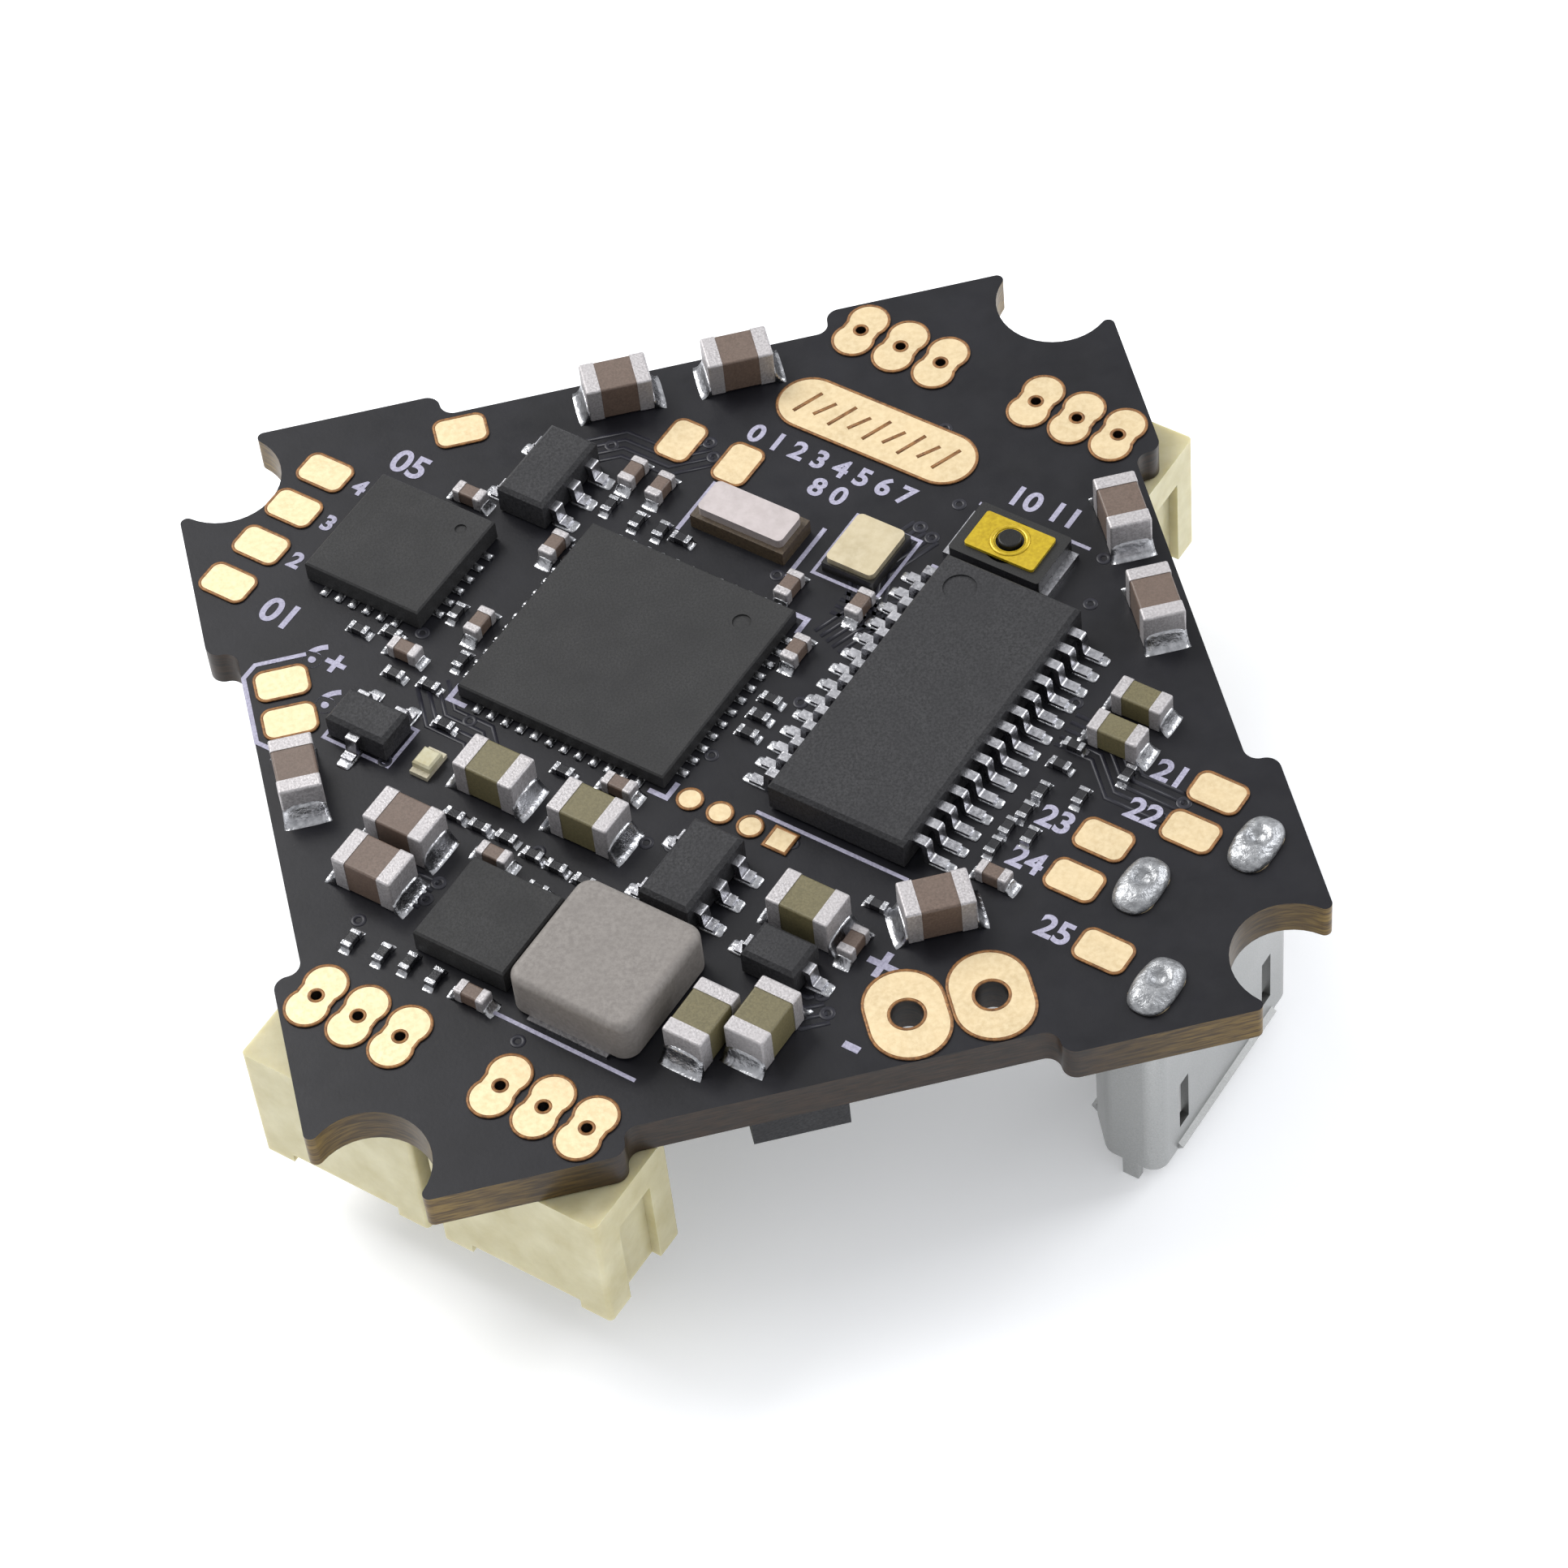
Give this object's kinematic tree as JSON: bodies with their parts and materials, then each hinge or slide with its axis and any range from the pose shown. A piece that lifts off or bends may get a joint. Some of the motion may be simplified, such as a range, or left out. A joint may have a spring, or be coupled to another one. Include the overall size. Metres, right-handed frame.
{
  "type": "flight controller board",
  "caption": "Square drone flight controller board with notched corners, surface-mounted chips, a boot button, a vertical micro-USB socket and motor sockets underneath.",
  "frame": {"origin": "Middle of the board's flat underside, half way between the four corner notches.", "axes": "+Z is the board's top side; X and Y run along the board's sides; the USB socket is under the corner at +X, -Y."},
  "size_m": [0.031, 0.031, 0.0095],
  "materials": {
    "board_mask": "satin solder mask",
    "gold_plating": "satin",
    "chip_moulding": "matte",
    "tinned_metal": "satin",
    "brown_ceramic": "matte",
    "olive_ceramic": "matte",
    "resistor_glaze": "glossy",
    "socket_nylon": "satin",
    "usb_steel": "satin",
    "usb_plastic": "matte",
    "contact_gold": "satin",
    "button_film": "satin",
    "button_black": "matte",
    "crystal_ceramic": "matte",
    "crystal_lid_silver": "satin",
    "crystal_lid_gold": "satin",
    "inductor_grey": "matte",
    "light_base": "matte",
    "light_lens": "clear"
  },
  "bodies": {
    "board": {"battery_pads": "gold_plating", "boot_button_base": "button_black", "boot_button_cover": "button_film", "boot_button_dome": "tinned_metal", "boot_button_terminals": "tinned_metal", "brown_capacitor_blocks": "brown_ceramic", "brown_capacitor_ends": "tinned_metal", "circuit_board": "board_mask", "converter_body": "chip_moulding", "converter_lands": "tinned_metal", "copper_patch": "gold_plating", "current_shunt_blocks": "resistor_glaze", "current_shunt_ends": "tinned_metal", "diode_bodies": "chip_moulding", "diode_leads": "tinned_metal", "display_chip_body": "chip_moulding", "display_chip_leads": "tinned_metal", "display_crystal_base": "crystal_ceramic", "display_crystal_lid": "crystal_lid_gold", "gyro_body": "chip_moulding", "gyro_lands": "tinned_metal", "inductor_core": "inductor_grey", "inductor_terminals": "tinned_metal", "main_crystal_base": "crystal_ceramic", "main_crystal_lid": "crystal_lid_silver", "medium_capacitor_blocks": "olive_ceramic", "medium_capacitor_ends": "tinned_metal", "microcontroller_body": "chip_moulding", "microcontroller_lands": "tinned_metal", "motor_driver_bodies": "chip_moulding", "motor_driver_lands": "tinned_metal", "motor_pads": "gold_plating", "motor_socket_1": "socket_nylon", "motor_socket_2": "socket_nylon", "motor_socket_3": "socket_nylon", "motor_socket_4": "socket_nylon", "motor_socket_pins": "tinned_metal", "olive_capacitor_blocks": "olive_ceramic", "olive_capacitor_ends": "tinned_metal", "power_transistor_bodies": "chip_moulding", "power_transistor_lands": "tinned_metal", "regulator_bodies": "chip_moulding", "regulator_leads": "tinned_metal", "resistor_blocks": "resistor_glaze", "resistor_ends": "tinned_metal", "signal_pads": "gold_plating", "small_capacitor_blocks": "brown_ceramic", "small_capacitor_ends": "tinned_metal", "status_light_base": "light_base", "status_light_lens": "light_lens", "test_pads": "gold_plating", "transistor_body": "chip_moulding", "transistor_leads": "tinned_metal", "underside_capacitor_blocks": "brown_ceramic", "underside_capacitor_ends": "tinned_metal", "usb_contacts": "contact_gold", "usb_leg_pads": "gold_plating", "usb_shell": "usb_steel", "usb_tongue": "usb_plastic"},
    "plunger": {"boot_button_plunger": "button_black"}
  },
  "joints": [
    {"name": "boot_button_press", "type": "slide", "parent": "board", "child": "plunger", "axis": [0, 0, -1], "range_m": [0, 0.0002], "stiffness_N_per_m": 8000}
  ]
}
